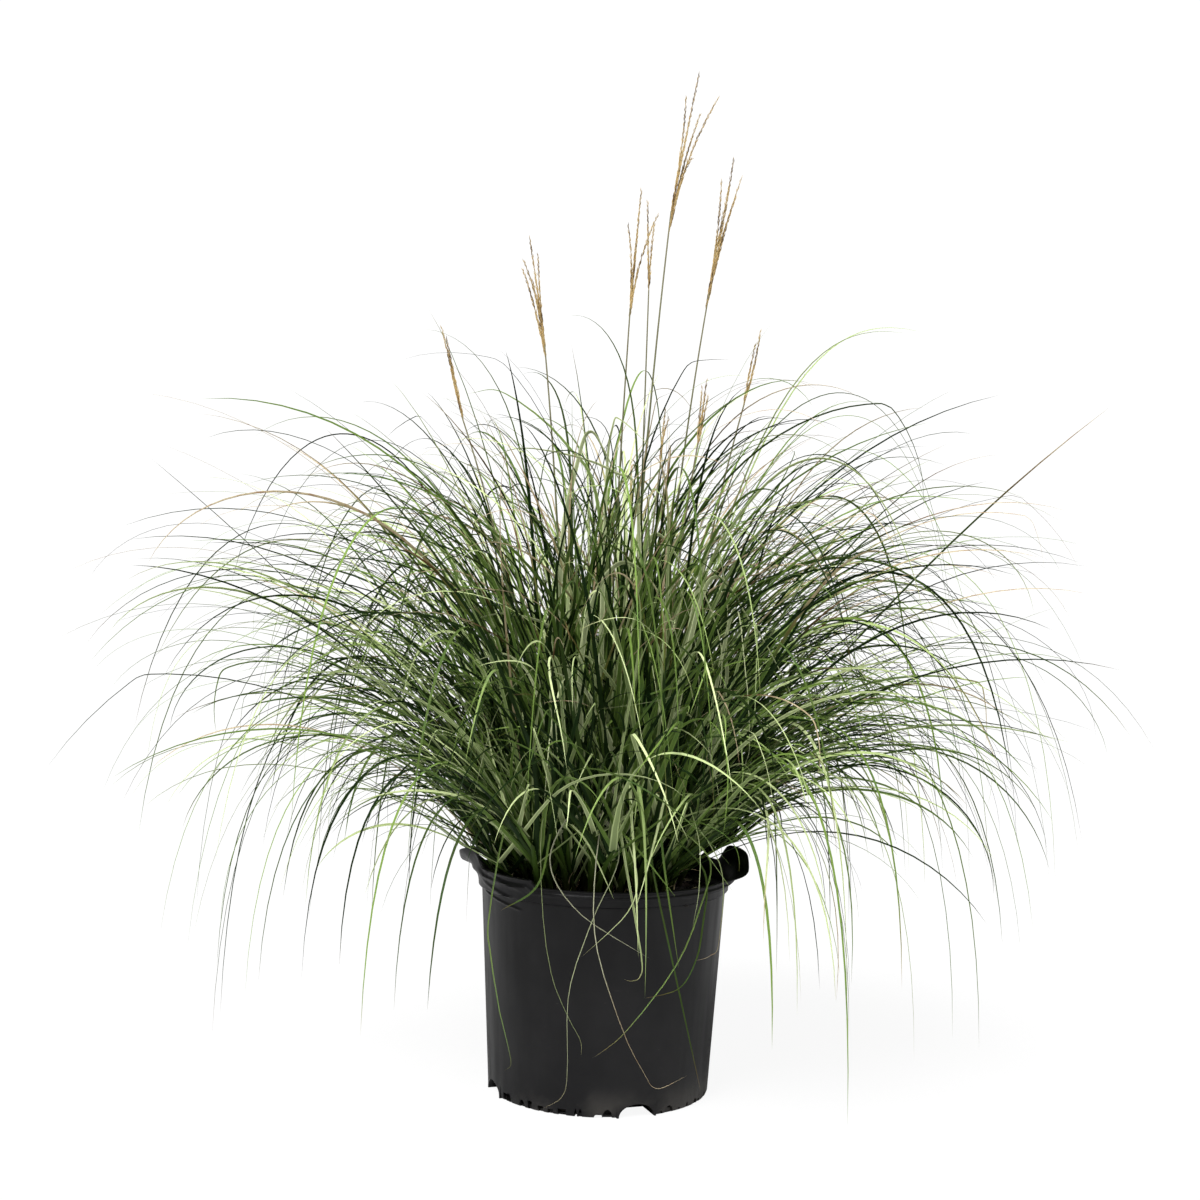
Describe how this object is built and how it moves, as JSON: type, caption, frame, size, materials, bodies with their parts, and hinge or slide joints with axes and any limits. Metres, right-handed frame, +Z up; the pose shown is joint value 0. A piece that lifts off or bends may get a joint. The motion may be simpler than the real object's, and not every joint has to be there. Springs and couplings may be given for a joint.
{
  "type": "potted maiden grass",
  "caption": "Clump of fine arching maiden grass with tall straw plumes, growing in a black nursery can with flared grips.",
  "frame": {"origin": "middle of the can's flat base, on the can's axis", "axes": "+Z up along the can's axis, +X to the right and -Y towards the viewer of the pictured front"},
  "size_m": [1.1418, 0.9921, 1.071],
  "materials": {
    "pot_plastic": "black recycled plastic, satin, lightly scuffed",
    "potting_soil": "damp composted bark",
    "grass_leaf": "fine green blade with a pale midrib, satin",
    "culm_straw": "dry tan straw with brown spikelets"
  },
  "bodies": {
    "root": {"nursery_pot": "pot_plastic", "potting_soil": "potting_soil", "leaf_tuft_01": "grass_leaf", "leaf_tuft_02": "grass_leaf", "leaf_tuft_03": "grass_leaf", "leaf_tuft_04": "grass_leaf", "leaf_tuft_05": "grass_leaf", "leaf_tuft_06": "grass_leaf", "leaf_tuft_07": "grass_leaf", "leaf_tuft_08": "grass_leaf", "leaf_tuft_09": "grass_leaf", "leaf_tuft_10": "grass_leaf", "leaf_tuft_11": "grass_leaf", "leaf_tuft_12": "grass_leaf", "leaf_tuft_13": "grass_leaf", "leaf_tuft_14": "grass_leaf", "leaf_tuft_15": "grass_leaf", "leaf_tuft_16": "grass_leaf", "leaf_tuft_17": "grass_leaf", "leaf_tuft_18": "grass_leaf", "leaf_tuft_19": "grass_leaf", "leaf_tuft_20": "grass_leaf", "leaf_tuft_21": "grass_leaf", "leaf_tuft_22": "grass_leaf", "leaf_tuft_23": "grass_leaf", "leaf_tuft_24": "grass_leaf", "leaf_tuft_25": "grass_leaf", "leaf_tuft_26": "grass_leaf", "leaf_tuft_27": "grass_leaf", "leaf_tuft_28": "grass_leaf", "leaf_tuft_29": "grass_leaf", "leaf_tuft_30": "grass_leaf", "leaf_tuft_31": "grass_leaf", "leaf_tuft_32": "grass_leaf", "leaf_tuft_33": "grass_leaf", "leaf_tuft_34": "grass_leaf", "leaf_tuft_35": "grass_leaf", "leaf_tuft_36": "grass_leaf", "leaf_tuft_37": "grass_leaf", "leaf_tuft_38": "grass_leaf", "leaf_tuft_39": "grass_leaf", "leaf_tuft_40": "grass_leaf", "leaf_tuft_41": "grass_leaf", "leaf_tuft_42": "grass_leaf", "leaf_tuft_43": "grass_leaf", "leaf_tuft_44": "grass_leaf", "flower_culm_01": "culm_straw", "flower_culm_02": "culm_straw", "flower_culm_03": "culm_straw", "flower_culm_04": "culm_straw", "flower_culm_05": "culm_straw", "flower_culm_06": "culm_straw", "flower_culm_07": "culm_straw", "flower_culm_08": "culm_straw", "flower_culm_09": "culm_straw"}
  },
  "joints": []
}
